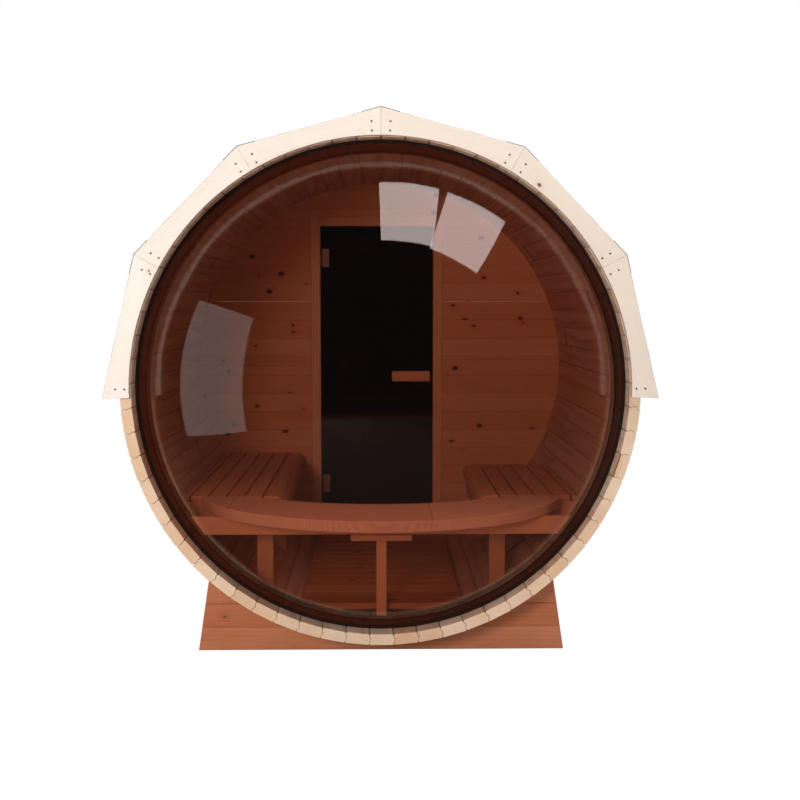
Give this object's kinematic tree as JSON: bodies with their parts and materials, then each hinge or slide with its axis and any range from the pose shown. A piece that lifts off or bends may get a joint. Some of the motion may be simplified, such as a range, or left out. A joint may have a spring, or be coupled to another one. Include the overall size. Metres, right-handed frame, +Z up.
{
  "type": "barrel sauna room with a domed window",
  "caption": "Round timber sauna room lying on cradles, with a smoked dome window at one end, a glass door at the other, inner benches and a faceted roof.",
  "frame": {"origin": "on the ground under the middle of the building's bounding box", "axes": "+Z up, +Y from the domed window end towards the door end, +X to the right seen from the window end"},
  "size_m": [2.1, 2.5912, 2.1205],
  "materials": {
    "stave_wood": "planed, unfinished spruce",
    "fascia_wood": "planed, unfinished pale spruce",
    "deck_wood": "sawn boards",
    "ring_wood": "planed, brown",
    "wall_wood": "planed spruce boards with knots",
    "frame_wood": "planed",
    "bench_wood": "sanded",
    "bench_top_wood": "sanded",
    "handle_wood": "sanded",
    "floor_wood": "planed",
    "cradle_wood": "reddish brown, oiled",
    "smoked_acrylic": "bronze tinted, polished",
    "door_glass": "dark tinted, polished",
    "bitumen": "mineral granules",
    "steel": "brushed"
  },
  "bodies": {
    "cabin": {"stave_group_01": "stave_wood", "stave_group_02": "stave_wood", "stave_group_03": "stave_wood", "stave_group_04": "stave_wood", "stave_group_05": "stave_wood", "stave_group_06": "stave_wood", "stave_group_07": "stave_wood", "stave_group_08": "stave_wood", "stave_group_09": "stave_wood", "stave_group_10": "stave_wood", "stave_group_11": "stave_wood", "stave_group_12": "stave_wood", "stave_group_13": "stave_wood", "window_ring": "ring_wood", "dome_window": "smoked_acrylic", "window_fascia": "fascia_wood", "door_fascia": "fascia_wood", "roof_deck": "deck_wood", "roof_battens": "deck_wood", "roof_shingles": "bitumen", "steel_hoops": "steel", "window_cradle": "cradle_wood", "door_cradle": "cradle_wood", "door_wall_left": "wall_wood", "door_wall_right": "wall_wood", "door_wall_over": "wall_wood", "door_wall_under": "wall_wood", "door_jambs": "frame_wood", "door_head": "frame_wood", "door_sill": "frame_wood", "hinge_bases": "steel", "left_bench": "bench_wood", "right_bench": "bench_wood", "left_bench_frame": "bench_wood", "right_bench_frame": "bench_wood", "bench_posts": "bench_wood", "window_bench_top": "bench_top_wood", "window_bench_beam": "bench_wood", "window_bench_support": "bench_wood", "floor_boards": "floor_wood", "floor_bearers": "floor_wood"},
    "door": {"door_glass": "door_glass", "inner_handle": "handle_wood", "outer_handle": "handle_wood", "hinge_leaves": "steel"}
  },
  "joints": [
    {"name": "door_hinge", "type": "hinge", "parent": "cabin", "child": "door", "pos_m": [-0.323, 1.02038, 1.07], "axis": [0, 0, 1], "range_deg": [0, 100]}
  ]
}
